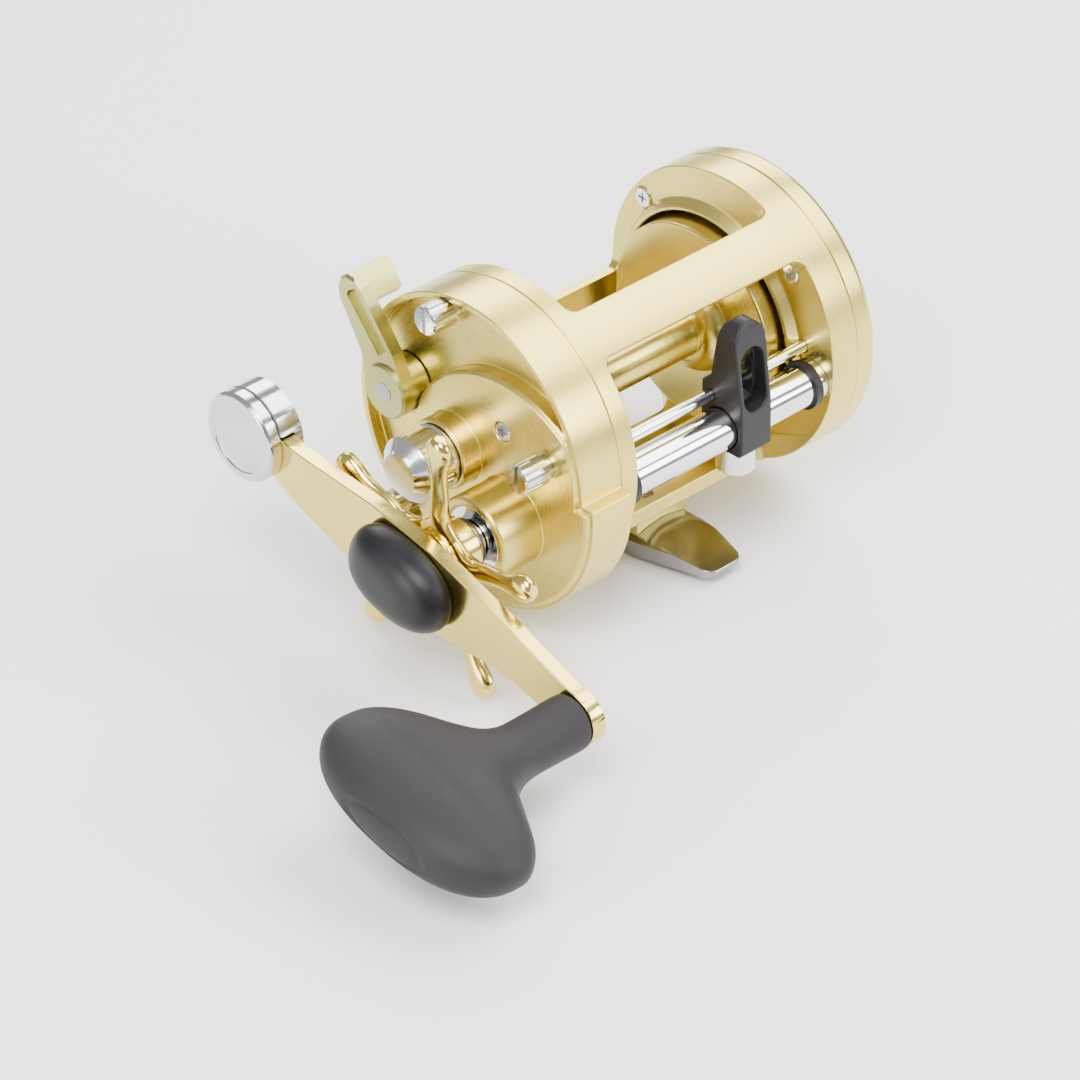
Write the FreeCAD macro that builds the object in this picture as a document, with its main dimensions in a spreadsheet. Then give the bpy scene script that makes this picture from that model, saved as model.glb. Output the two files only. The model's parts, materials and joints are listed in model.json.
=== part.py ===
import FreeCAD, Part
import math
import os
from types import SimpleNamespace

import Sketcher
from FreeCAD import Placement, Rotation, Vector

# Trolling reel, a round level-wind multiplier. Millimetres, +Z up, +X towards the palm side, the
# handle on the -X side and the line leaving towards -Y. The origin is the crown of the reel foot's
# underside; the middle of the frame's two rings stands axis_height above it.

DIMENSIONS = {
    # frame and its two rings
    "axis_height": 37.5, "ring_radius": 34.0, "half_gap": 28.85, "near_seam": 33.6,
    "far_seam": 36.5, "bar_inner": 31.3, "bore_radius": 24.7, "plate_recess": 31.4,
    "recess_floor": 31.8, "window_fillet": 2.5, "saddle_fillet": 7.0,
    "top_bar_from": 113.8, "top_bar_to": 133.6, "rear_bar_from": 332.0, "rear_bar_to": 355.0,
    "saddle_from": 246.8, "saddle_to": 293.4, "saddle_inner": 31.0,
    "lip_edge": 26.7, "lip_radius": 27.2,
    # handle side plate
    "side_edge": 45.0, "main_face": 42.3, "plateau_face": 46.3, "shell_floor": 40.4,
    "gear_floor": 44.4, "bulge_radius": 34.4, "bulge_y": -3.0, "bulge_z": -2.6,
    "bulge_step": 0.5, "plateau_radius": 30.0, "plateau_y": -12.0, "plateau_z": -9.0,
    # palm side plate
    "palm_edge": 42.2, "palm_crown": 43.2, "palm_floor": 40.2,
    # spool
    "spool_y": 2.9, "spool_z": -1.5, "flange_radius": 23.6, "arbor_radius": 6.0,
    "spool_near": 23.5, "spool_far": 22.7, "spool_shaft_radius": 1.75,
    # gear train
    "drive_module": 0.6, "drive_teeth": 54, "pinion_teeth": 12, "mesh_angle": 210.3,
    "wind_module": 0.5, "wind_teeth": 46, "worm_teeth": 18, "wind_angle": 150.7,
    "backlash": 0.10, "pressure_angle": 25.0,
    # level wind
    "tube_radius": 4.7, "tube_bore": 3.9, "worm_radius": 3.2, "rod_radius": 1.4,
    "rod_y": -24.8, "rod_z": 3.2, "tube_end": 32.4, "guide_x": 5.7, "guide_width": 9.0,
    # crank
    "crank_tilt": 12.8, "arm_front": 75.3, "arm_thickness": 3.6, "grip_reach": 50.5,
    "weight_reach": 50.3, "shaft_radius": 3.0, "star_radius": 27.8, "weight_radius": 10.3,
    "boss_face": 57.6, "boss_radius": 9.7,
    # spool tension cap
    "cap_radius": 7.4, "cap_face": 62.3, "cap_seat": 51.3, "neck_radius": 6.2,
    # clutch lever
    "lever_y": 20.9, "lever_z": 5.1, "lever_face": 50.3,
    # reel foot
    "foot_half_length": 32.0, "foot_half_width": 8.9, "saddle_curve": 16.0, "foot_thickness": 3.5,
}

doc = FreeCAD.newDocument("trolling_reel")
sheet = doc.addObject("Spreadsheet::Sheet", "Dims")
for row, (alias, number) in enumerate(DIMENSIONS.items(), start=1):
    sheet.set("A%d" % row, alias)
    sheet.set("B%d" % row, "%g" % number)
    sheet.setAlias("B%d" % row, alias)
doc.recompute()


class Size:
    """A number together with the spreadsheet expression that gives it."""

    def __init__(self, value, text=None):
        self.value = float(value)
        self.text = text or "(%r)" % self.value

    def __add__(self, other):
        other = size(other)
        return Size(self.value + other.value, "(%s + %s)" % (self.text, other.text))

    def __sub__(self, other):
        other = size(other)
        return Size(self.value - other.value, "(%s - %s)" % (self.text, other.text))

    def __mul__(self, other):
        other = size(other)
        return Size(self.value * other.value, "(%s * %s)" % (self.text, other.text))

    def __truediv__(self, other):
        other = size(other)
        return Size(self.value / other.value, "(%s / %s)" % (self.text, other.text))

    def __neg__(self):
        return Size(-self.value, "(0 - %s)" % self.text)

    def __radd__(self, other):
        return size(other) + self

    def __rsub__(self, other):
        return size(other) - self

    def __rmul__(self, other):
        return size(other) * self


def size(number):
    return number if isinstance(number, Size) else Size(number)


def cosine(degrees):
    degrees = size(degrees)
    return Size(math.cos(math.radians(degrees.value)), "cos(%s)" % degrees.text)


def sine(degrees):
    degrees = size(degrees)
    return Size(math.sin(math.radians(degrees.value)), "sin(%s)" % degrees.text)


def polar(radius, degrees):
    return (size(radius) * cosine(degrees), size(radius) * sine(degrees))


d = SimpleNamespace(**{alias: Size(number, "Dims." + alias) for alias, number in DIMENSIONS.items()})

# The axes of rotation, as (y, z) from the middle of the rings.
gear_distance = (d.drive_teeth + d.pinion_teeth) * d.drive_module / 2
wind_distance = (d.wind_teeth + d.worm_teeth) * d.wind_module / 2
RINGS = (size(0), size(0))
SPOOL = (d.spool_y, d.spool_z)
MAIN = (SPOOL[0] + gear_distance * cosine(d.mesh_angle), SPOOL[1] + gear_distance * sine(d.mesh_angle))
WORM = (MAIN[0] + wind_distance * cosine(d.wind_angle), MAIN[1] + wind_distance * sine(d.wind_angle))
ROD = (d.rod_y, d.rod_z)
LEVER = (d.lever_y, d.lever_z)

# Fastener places, as (y, z) from the middle of the rings.
THUMB_SCREWS = ((7.7, 28.7), (-24.4, 6.5), (19.2, -23.0))
THUMB_SEATS = (d.main_face, d.plateau_face, d.main_face)
PALM_SCREWS = ((-20.5, 19.6), (24.2, 18.6), (-8.4, -29.3))
PLATE_SCREWS = ((-22.0, 19.5), (26.5, -13.0), (2.0, 29.2))
COVER_SCREW = (-11.4, 8.8)
# The yoke lies across the line from the gear housing's middle to the spool's axis.
YOKE_LEAN = 116.7
YOKE_POSTS = tuple((d.spool_y.value + reach * math.cos(math.radians(YOKE_LEAN)),
                    d.spool_z.value + reach * math.sin(math.radians(YOKE_LEAN))) for reach in (9.5, -9.5))

nodes = []


# ---- helpers -------------------------------------------------------------------------------

def new_body(label, axis=RINGS, tilt=None, node=True):
    """A body whose own X axis lies on the given axis of the reel."""
    body = doc.addObject("PartDesign::Body", label)
    body.Label = label
    body.AllowCompound = True
    locate(body, axis, tilt)
    if node:
        nodes.append(body)
    return body


def locate(item, axis, tilt=None):
    across, up = size(axis[0]), size(axis[1]) + d.axis_height
    turn = tilt.value if tilt else 0.0
    item.Placement = Placement(Vector(0, across.value, up.value), Rotation(Vector(1, 0, 0), turn))
    item.setExpression("Placement.Base.y", across.text)
    item.setExpression("Placement.Base.z", up.text)


def new_sketch(body, plane, offset=0):
    sketch = body.newObject("Sketcher::SketchObject", body.Name + "_sketch")
    origin_plane = [part for part in body.Origin.OriginFeatures if part.Role == plane][0]
    sketch.AttachmentSupport = [(origin_plane, "")]
    sketch.MapMode = "FlatFace"
    offset = size(offset)
    sketch.AttachmentOffset = Placement(Vector(0, 0, offset.value), Rotation())
    if "Dims" in offset.text:
        sketch.setExpression("AttachmentOffset.Base.z", offset.text)
    return sketch


def add_constraints(sketch, wanted):
    """wanted holds (constraint, Size) pairs; a Size from the sheet is bound to it."""
    first = sketch.ConstraintCount
    sketch.addConstraint([constraint for constraint, bound in wanted])
    for index, (constraint, bound) in enumerate(wanted, start=first):
        if bound is not None and "Dims" in bound.text:
            sketch.setExpression("Constraints[%d]" % index, bound.text)


def draw_outline(sketch, points):
    """A closed outline. A point is (across, up), or (across, up, radius) where the edge that
    leaves it is an arc of less than half a turn, counter-clockwise if the radius is positive."""
    corners = [Vector(size(point[0]).value, size(point[1]).value, 0) for point in points]
    count = len(points)
    shapes, ends = [], []
    for index, point in enumerate(points):
        begin, finish = corners[index], corners[(index + 1) % count]
        if len(point) == 2:
            shapes.append(Part.LineSegment(begin, finish))
            ends.append((1, 2))
            continue
        radius = size(point[2]).value
        chord = finish - begin
        side = Vector(-chord.y, chord.x, 0).normalize() * (1 if radius > 0 else -1)
        rise = math.sqrt(max(radius * radius - chord.Length * chord.Length / 4, 0.0))
        centre = (begin + finish) / 2 + side * rise
        shapes.append(Part.Arc(begin, centre - side * abs(radius), finish))
        ends.append((1, 2) if radius > 0 else (2, 1))
    base = sketch.GeometryCount
    sketch.addGeometry(shapes, False)
    wanted = []
    for index, point in enumerate(points):
        after = (index + 1) % count
        joint = Sketcher.Constraint("Coincident", base + index, ends[index][1], base + after, ends[after][0])
        wanted.append((joint, None))
        for kind, number in (("DistanceX", point[0]), ("DistanceY", point[1])):
            number = size(number)
            pin = Sketcher.Constraint(kind, -1, 1, base + index, ends[index][0], number.value)
            wanted.append((pin, number))
        if len(point) == 3:
            number = size(point[2])
            number = number if number.value > 0 else -number
            wanted.append((Sketcher.Constraint("Radius", base + index, number.value), number))
    add_constraints(sketch, wanted)


def draw_circles(sketch, circles):
    """circles holds (across, up, radius)."""
    for across, up, radius in circles:
        across, up, radius = size(across), size(up), size(radius)
        index = sketch.addGeometry(Part.Circle(Vector(across.value, up.value, 0), Vector(0, 0, 1),
                                               radius.value), False)
        wanted = [(Sketcher.Constraint("DistanceX", -1, 1, index, 3, across.value), across),
                  (Sketcher.Constraint("DistanceY", -1, 1, index, 3, up.value), up),
                  (Sketcher.Constraint("Radius", index, radius.value), radius)]
        add_constraints(sketch, wanted)


def along_x(body, kind, begin, finish, circles=(), outlines=()):
    """A pad or pocket of a YZ sketch between two places along X."""
    begin, finish = size(begin), size(finish)
    sketch = new_sketch(body, "YZ_Plane", begin)
    draw_circles(sketch, circles)
    for points in outlines:
        draw_outline(sketch, points)
    feature = body.newObject("PartDesign::" + kind, body.Name + "_" + kind.lower())
    feature.Profile = sketch
    length = finish - begin
    feature.Length = length.value
    if "Dims" in length.text:
        feature.setExpression("Length", length.text)
    feature.Reversed = kind == "Pocket"
    body.Tip = feature
    return feature


def pad(body, begin, finish, circles=(), outlines=()):
    return along_x(body, "Pad", begin, finish, circles, outlines)


def pocket(body, begin, finish, circles=(), outlines=()):
    return along_x(body, "Pocket", begin, finish, circles, outlines)


def across_z(body, kind, bottom, top, circles=(), outlines=()):
    """A pad or pocket of an XY sketch between two heights."""
    bottom, top = size(bottom), size(top)
    sketch = new_sketch(body, "XY_Plane", bottom)
    draw_circles(sketch, circles)
    for points in outlines:
        draw_outline(sketch, points)
    feature = body.newObject("PartDesign::" + kind, body.Name + "_" + kind.lower())
    feature.Profile = sketch
    feature.Length = (top - bottom).value
    feature.Reversed = kind == "Pocket"
    body.Tip = feature
    return feature


def turned(body, points, kind="Revolution"):
    """A body of revolution about its own X axis from (along, radius) points."""
    sketch = new_sketch(body, "XZ_Plane")
    draw_outline(sketch, points)
    feature = body.newObject("PartDesign::" + kind, body.Name + "_" + kind.lower())
    feature.Profile = sketch
    feature.ReferenceAxis = (sketch, ["H_Axis"])
    feature.Angle = 360
    body.Tip = feature
    return feature


def turned_off_axis(body, axis, points, kind="Revolution"):
    """Like turned, about an X-parallel axis at (y, z)."""
    sketch = new_sketch(body, "XZ_Plane", -size(axis[0]))
    shifted = [(point[0], size(point[1]) + axis[1]) + tuple(point[2:]) for point in points]
    draw_outline(sketch, shifted)
    spine = sketch.addGeometry(Part.LineSegment(Vector(-50, size(axis[1]).value, 0),
                                                Vector(50, size(axis[1]).value, 0)), True)
    wanted = [(Sketcher.Constraint("Horizontal", spine), None),
              (Sketcher.Constraint("DistanceY", -1, 1, spine, 1, size(axis[1]).value), size(axis[1])),
              (Sketcher.Constraint("DistanceX", -1, 1, spine, 1, -50.0), None),
              (Sketcher.Constraint("DistanceX", -1, 1, spine, 2, 50.0), None)]
    add_constraints(sketch, wanted)
    feature = body.newObject("PartDesign::" + kind, body.Name + "_" + kind.lower())
    feature.Profile = sketch
    feature.ReferenceAxis = (sketch, ["Axis0"])
    feature.Angle = 360
    body.Tip = feature
    return feature


def polar_copies(body, feature, count):
    axis = [part for part in body.Origin.OriginFeatures if part.Role == "X_Axis"][0]
    pattern = body.newObject("PartDesign::PolarPattern", body.Name + "_pattern")
    pattern.Originals = [feature]
    pattern.Axis = (axis, [""])
    pattern.Angle = 360
    pattern.Occurrences = count
    body.Tip = pattern
    return pattern


def dress(body, kind, amount, wanted):
    """A fillet or chamfer of the edges for which wanted(edge) is true."""
    doc.recompute()
    base = body.Tip
    if base.Shape.isNull():
        raise ValueError("%s failed before its edges were dressed" % base.Name)
    names = ["Edge%d" % number for number, edge in enumerate(base.Shape.Edges, start=1) if wanted(edge)]
    if not names:
        raise ValueError("no edge to dress on " + body.Label)
    feature = body.newObject("PartDesign::" + kind, body.Name + "_" + kind.lower())
    feature.Base = (base, names)
    amount = size(amount)
    name = "Radius" if kind == "Fillet" else "Size"
    setattr(feature, name, amount.value)
    if "Dims" in amount.text:
        feature.setExpression(name, amount.text)
    body.Tip = feature
    return feature


def at_x(edge, place, slack=0.02):
    """True for an edge that lies in the plane x = place."""
    box = edge.BoundBox
    return abs(box.XMin - place) < slack and abs(box.XMax - place) < slack


def free_solid(label, shape, axis=RINGS, tilt=None):
    """A piece whose surface is lofted or toothed, from Part's own functions."""
    item = doc.addObject("Part::Feature", label)
    item.Label = label
    item.Shape = shape
    locate(item, axis, tilt)
    nodes.append(item)
    return item


def copies(label, source, places, turn=None):
    """One node of separate solids: the source body's shape at several (x, y, z) places."""
    doc.recompute()
    shapes = []
    for place in places:
        copy = source.Shape.copy()
        copy.Placement = Placement(Vector(*[size(number).value for number in place]), Rotation())
        shapes.append(copy)
    return free_solid(label, Part.makeCompound(shapes))


def rectangle(left, low, right, high):
    return [(left, low), (right, low), (right, high), (left, high)]


def sector(inner, outer, start, stop):
    """A piece of a flat ring between two angles, less than half a turn."""
    return [(*polar(outer, start), outer), polar(outer, stop), (*polar(inner, stop), -size(inner)),
            polar(inner, start)]


def ring_profile(begin, finish, inner, outer, bevel=0.25):
    """The half section of a plain ring with bevelled rims."""
    begin, finish, inner, outer = size(begin), size(finish), size(inner), size(outer)
    return [(begin, inner), (begin, outer - bevel), (begin + bevel, outer), (finish - bevel, outer),
            (finish, outer - bevel), (finish, inner)]


def ring(label, begin, finish, inner, outer, axis=RINGS, tilt=None, bevel=0.25):
    body = new_body(label, axis, tilt)
    turned(body, ring_profile(begin, finish, inner, outer, bevel))
    return body


def cross_outline(reach, half_width):
    """The outline of a cross recess."""
    near, far = half_width, reach
    return [(far, -near), (far, near), (near, near), (near, far), (-near, far), (-near, near),
            (-far, near), (-far, -near), (-near, -near), (-near, -far), (near, -far), (near, -near)]


def tooth_angle(radius, base, pitch, half_thickness, pressure):
    """Half of a tooth's angle at a radius, for an involute flank that is radial inside its base."""
    def involute(angle):
        return math.tan(angle) - angle
    here = math.acos(min(1.0, base / max(radius, base)))
    return half_thickness / pitch + involute(pressure) - involute(here)


def gear_face(module, teeth, first_tooth):
    """The face of an external gear in the YZ plane with a tooth at first_tooth degrees."""
    pitch = module * teeth / 2
    pressure = math.radians(d.pressure_angle.value)
    base = pitch * math.cos(pressure)
    tip, root = pitch + 0.85 * module, pitch - 1.2 * module
    half_thickness = math.pi * module / 4 - d.backlash.value / 4
    levels = [root] + [max(base, root + 0.05) + (tip - max(base, root + 0.05)) * step / 4
                       for step in range(5)]
    points = []
    for tooth in range(teeth):
        middle = math.radians(first_tooth) + 2 * math.pi * tooth / teeth
        for side, radii in ((-1, levels), (1, levels[::-1])):
            for radius in radii:
                angle = middle + side * tooth_angle(radius, base, pitch, half_thickness, pressure)
                points.append(Vector(0, radius * math.cos(angle), radius * math.sin(angle)))
    return Part.Face(Part.makePolygon(points + [points[0]]))


def toothed(module, teeth, first_tooth, begin, finish):
    face = gear_face(module, teeth, first_tooth)
    face.translate(Vector(begin, 0, 0))
    return face.extrude(Vector(finish - begin, 0, 0))


def cylinder(begin, finish, radius, y=0.0, z=0.0):
    return Part.makeCylinder(radius, finish - begin, Vector(begin, y, z), Vector(1, 0, 0))


def section(centre, side, up, half_side, half_up, square=2.0, count=16):
    """A closed smooth section, an ellipse for square=2 and boxier above."""
    points = []
    for step in range(count):
        angle = 2 * math.pi * step / count
        cos, sin = math.cos(angle), math.sin(angle)
        across = math.copysign(abs(cos) ** (2 / square), cos) * half_side
        rise = math.copysign(abs(sin) ** (2 / square), sin) * half_up
        points.append(centre + side * across + up * rise)
    curve = Part.BSplineCurve()
    curve.interpolate(points, PeriodicFlag=True)
    return Part.Wire(curve.toShape())


def loft(wires):
    return Part.makeLoft(wires, True, False)


# ---- frame ---------------------------------------------------------------------------------

def make_frame():
    body = new_body("frame")
    pad(body, -d.near_seam, -d.half_gap, [(0, 0, d.ring_radius)])
    pad(body, d.half_gap, d.far_seam, [(0, 0, d.ring_radius)])
    span = (-d.half_gap - 0.5, d.half_gap + 0.5)
    for inner, start, stop in ((d.bar_inner, d.top_bar_from, d.top_bar_to),
                               (d.bar_inner, d.rear_bar_from, d.rear_bar_to),
                               (d.saddle_inner, d.saddle_from, d.saddle_to)):
        pad(body, *span, outlines=[sector(inner, d.ring_radius, start, stop)])
    across_z(body, "Pad", -36.2, -31.0, outlines=[rectangle(-7.5, -12, 7.5, 12)])
    turned_off_axis(body, SPOOL, [(d.lip_edge, 20), (d.lip_edge, d.bore_radius + 0.8),
                                  (d.half_gap, d.lip_radius), (d.half_gap + 1, d.lip_radius),
                                  (d.half_gap + 1, 20)])
    pocket(body, -d.near_seam - 1, -d.half_gap + 1, [(*SPOOL, d.bore_radius)])
    pocket(body, d.lip_edge - 1, d.far_seam + 1, [(*SPOOL, d.bore_radius)])
    pocket(body, -d.near_seam - 1, -d.recess_floor, [(0, 0, d.plate_recess)])
    pocket(body, -d.near_seam, -d.half_gap + 1, [(*WORM, d.tube_radius), (*ROD, d.rod_radius)])
    pocket(body, d.lip_edge - 1, d.tube_end, [(*WORM, d.tube_radius), (*ROD, d.rod_radius)])
    pocket(body, -d.near_seam - 1, -d.half_gap - 1.2, [(y, z, 1.5) for y, z in THUMB_SCREWS])
    pocket(body, -d.near_seam - 1, -d.half_gap - 1.8, [(y, z, 1.05) for y, z in PLATE_SCREWS])
    pocket(body, d.lip_edge - 1, d.far_seam + 1, [(y, z, 1.3) for y, z in PALM_SCREWS])
    pocket(body, d.lip_edge - 1, d.half_gap + 0.5, [(y, z, 2.5) for y, z in PALM_SCREWS])
    across_z(body, "Pocket", -40.0, -29.0, [(0, -7.5, 1.3), (0, 7.5, 1.3)])
    saddle_seat(body)
    gap = d.half_gap.value

    def window_corner(edge, low, high):
        box = edge.BoundBox
        if not (at_x(edge, gap) or at_x(edge, -gap)) or edge.Length > 6:
            return False
        reach = [math.hypot(vertex.Y, vertex.Z) for vertex in edge.Vertexes]
        middle = box.Center
        return (len(reach) == 2 and max(reach) > 33.9 and min(reach) < 31.6
                and low <= math.degrees(math.atan2(middle.z, middle.y)) % 360 <= high)

    dress(body, "Fillet", d.window_fillet, lambda edge: window_corner(edge, 0, 246.9)
          or window_corner(edge, 330, 360))
    dress(body, "Fillet", d.saddle_fillet, lambda edge: window_corner(edge, 290, 297))


def saddle_seat(body):
    """The underside is hollowed to the curve of the foot's arched top."""
    sketch = new_sketch(body, "XZ_Plane", -15)
    curve = d.saddle_curve + d.foot_thickness
    crown = -d.axis_height - d.saddle_curve
    draw_circles(sketch, [(0, crown, curve)])
    cut = body.newObject("PartDesign::Pocket", "frame_saddle")
    cut.Profile = sketch
    cut.Length = 30
    cut.Reversed = True
    body.Tip = cut


def make_foot():
    """The reel foot: an arched saddle that follows the rod, thinning towards both tips."""
    body = new_body("reel_foot")
    curve = d.saddle_curve
    tip_half = 5.0
    length, width = d.foot_half_length, d.foot_half_width
    outline = [(-width, -12), (-tip_half - 0.4, -length + 2.4, 3.2), (-tip_half + 2.4, -length),
               (tip_half - 2.4, -length, 3.2), (tip_half + 0.4, -length + 2.4), (width, -12),
               (width, 12), (tip_half + 0.4, length - 2.4, 3.2), (tip_half - 2.4, length),
               (-tip_half + 2.4, length, 3.2), (-tip_half - 0.4, length - 2.4), (-width, 12)]
    across_z(body, "Pad", -d.axis_height - 4, -d.axis_height + d.foot_thickness + 1, outlines=[outline])
    low, high = -d.axis_height, -d.axis_height + d.foot_thickness
    cut_above = [(-40, low + 0.4), (-length, low + 1.0), (-13, high), (13, high), (length, low + 1.0),
                 (40, low + 0.4), (40, high + 5), (-40, high + 5)]
    pocket(body, -30, 30, outlines=[cut_above])
    for radius, outside in ((curve, False), (curve + d.foot_thickness, True)):
        sketch = new_sketch(body, "XZ_Plane", -40)
        draw_circles(sketch, [(0, -d.axis_height - curve, radius)])
        if outside:
            draw_outline(sketch, rectangle(-60, -d.axis_height - 60, 60, -d.axis_height + 40))
        cut = body.newObject("PartDesign::Pocket", "foot_arch")
        cut.Profile = sketch
        cut.Length = 80
        cut.Reversed = True
        body.Tip = cut
    across_z(body, "Pocket", -d.axis_height - 5, -d.axis_height + 5, [(0, -7.5, 1.4), (0, 7.5, 1.4)])
    across_z(body, "Pocket", -d.axis_height - 5, -d.axis_height + 1.3, [(0, -7.5, 2.5), (0, 7.5, 2.5)])


def make_foot_screws():
    body = new_body("foot_screw_pattern", node=False)
    across_z(body, "Pad", -d.axis_height + 0.1, -d.axis_height + 1.3, [(0, 0, 2.4)])
    across_z(body, "Pad", -d.axis_height + 1.2, -29.6, [(0, 0, 1.25)])
    across_z(body, "Pocket", -d.axis_height, -d.axis_height + 0.8, outlines=[cross_outline(1.5, 0.3)])
    copies("foot_screws", body, [(0, -7.5, 0), (0, 7.5, 0)])


def make_gear_plate():
    body = new_body("gear_plate")
    pad(body, -d.near_seam, -d.recess_floor, [(0, 0, d.plate_recess - 0.1)])
    pocket(body, -d.near_seam - 1, -d.recess_floor + 1,
           [(*SPOOL, 3.4), (*MAIN, 4.2), (*WORM, 3.3), (*ROD, 1.0)]
           + [(y, z, 1.6) for y, z in THUMB_SCREWS] + [(y, z, 1.05) for y, z in PLATE_SCREWS])
    pad(body, -d.near_seam - 3.6, -d.near_seam, [(y, z, 2.6) for y, z in YOKE_POSTS])
    pad(body, -d.shell_floor - 3.6, -d.near_seam - 3.6, [(y, z, 1.2) for y, z in YOKE_POSTS])


def cover_outline(inset=0.0):
    """The side plate seen along X: a circle that swells towards the front and below."""
    radius, bulge = d.ring_radius - inset, d.bulge_radius - inset
    step = d.bulge_step - inset
    front_y = -math.sqrt(radius.value ** 2 - step.value ** 2)
    rise = step.value - d.bulge_z.value
    bulge_front = d.bulge_y.value - math.sqrt(bulge.value ** 2 - rise ** 2)
    leave = circle_meeting(radius.value, bulge.value)
    return [(0, radius, radius), (front_y, step), (bulge_front, step, bulge),
            (d.bulge_y, d.bulge_z - bulge, bulge), (*leave, radius), (radius, 0, radius)]


def circle_meeting(radius, bulge):
    """Where the swelling's circle runs back into the ring's circle, behind and below."""
    across, up = d.bulge_y.value, d.bulge_z.value
    apart = math.hypot(across, up)
    along = (radius ** 2 - bulge ** 2 + apart ** 2) / (2 * apart)
    off = math.sqrt(radius ** 2 - along ** 2)
    ends = [((along * across - side * off * up) / apart, (along * up + side * off * across) / apart)
            for side in (1, -1)]
    return max(ends)


def make_side_plate():
    body = new_body("handle_side_plate")
    pad(body, -d.main_face, -d.near_seam, outlines=[cover_outline()])
    pad(body, -d.side_edge, -d.main_face, outlines=[cover_outline(), cover_outline(1.5)])
    plateau_pad(body)
    pocket(body, -d.shell_floor, -d.near_seam + 1, [(0, 0, d.ring_radius - 2.2)])
    pocket(body, -d.gear_floor, -d.near_seam + 1, [(*MAIN, 17.5)])
    pocket(body, -d.gear_floor, -d.near_seam + 1, [(*WORM, 5.6)])
    pocket(body, -d.gear_floor, -d.shell_floor + 1, [(*SPOOL, 10.0)])
    yoke_room = [yoke_corner(*corner, SPOOL) for corner in ((-15.4, -5.2), (14.4, -5.2), (14.4, 2.4),
                                                            (7.2, 7.2), (-7.2, 7.2), (-15.4, 2.4))]
    pocket(body, -d.gear_floor, -d.shell_floor + 1, outlines=[yoke_room])
    pad(body, -d.shell_floor - 0.3, -d.near_seam, [(*place, 3.0) for place in THUMB_SCREWS])
    pad(body, -d.boss_face, -d.plateau_face + 0.5, [(*MAIN, d.boss_radius)])
    pad(body, -d.cap_seat, -d.plateau_face + 0.5, [(*SPOOL, 8.1)])
    pad(body, -d.cap_seat - 5.6, -d.cap_seat, [(*SPOOL, d.neck_radius)])
    pocket(body, -d.boss_face - 1, -d.shell_floor, [(*MAIN, 7.5)])
    pocket(body, -d.cap_seat - 6, -d.cap_seat + 1.2, [(*SPOOL, 5.05)])
    pocket(body, -d.cap_seat - 6, -d.shell_floor, [(*SPOOL, 3.4)])
    pocket(body, -d.plateau_face - 1, -d.near_seam + 1, [(y, z, 1.6) for y, z in THUMB_SCREWS])
    pocket(body, -d.side_edge - 1, -d.main_face, [(y, z, 3.6) for y, z in THUMB_SCREWS[::2]])
    pocket(body, -d.plateau_face - 1, -d.main_face, [(*LEVER, 6.6)])
    pocket(body, -d.main_face - 1, -d.shell_floor + 1, [(*LEVER, 2.55)])
    pocket(body, -d.plateau_face - 1, -d.plateau_face + 1.0, [(*COVER_SCREW, 2.3)])
    pocket(body, -d.plateau_face - 1, -d.plateau_face + 3.2, [(*COVER_SCREW, 1.05)])
    dress(body, "Chamfer", 0.8, lambda edge: at_x(edge, -d.plateau_face.value)
          and edge.BoundBox.DiagonalLength > 30)
    dress(body, "Chamfer", 0.5, lambda edge: at_x(edge, -d.boss_face.value)
          or at_x(edge, -d.cap_seat.value) and edge.BoundBox.DiagonalLength > 20)


def plateau_pad(body):
    """The raised gear housing: a wide circle trimmed to the plate's own outline."""
    reach, across, up = d.plateau_radius.value, d.plateau_y.value, d.plateau_z.value
    inner_ring, inner_bulge = d.ring_radius.value - 0.9, d.bulge_radius.value - 0.9
    step = d.bulge_step.value - 0.9

    def meeting(radius, centre_y, centre_z, pick):
        gap_y, gap_z = centre_y - across, centre_z - up
        apart = math.hypot(gap_y, gap_z)
        along = (reach ** 2 - radius ** 2 + apart ** 2) / (2 * apart)
        off = math.sqrt(reach ** 2 - along ** 2)
        ends = [(across + (along * gap_y - side * off * gap_z) / apart,
                 up + (along * gap_z + side * off * gap_y) / apart) for side in (1, -1)]
        return pick(ends)

    upper = meeting(inner_ring, 0.0, 0.0, lambda ends: max(ends, key=lambda end: end[1]))
    lower = meeting(inner_bulge, d.bulge_y.value, d.bulge_z.value,
                    lambda ends: min(ends, key=lambda end: end[1]))
    front_y = -math.sqrt(inner_ring ** 2 - step ** 2)
    bulge_front = d.bulge_y.value - math.sqrt(inner_bulge ** 2 - (step - d.bulge_z.value) ** 2)
    rear = (across + reach * math.cos(math.radians(-10)), up + reach * math.sin(math.radians(-10)))
    outline = [(*upper, inner_ring), (front_y, step), (bulge_front, step, inner_bulge),
               (*lower, reach), (*rear, reach)]
    pad(body, -d.plateau_face, -d.main_face, outlines=[outline])


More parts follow.
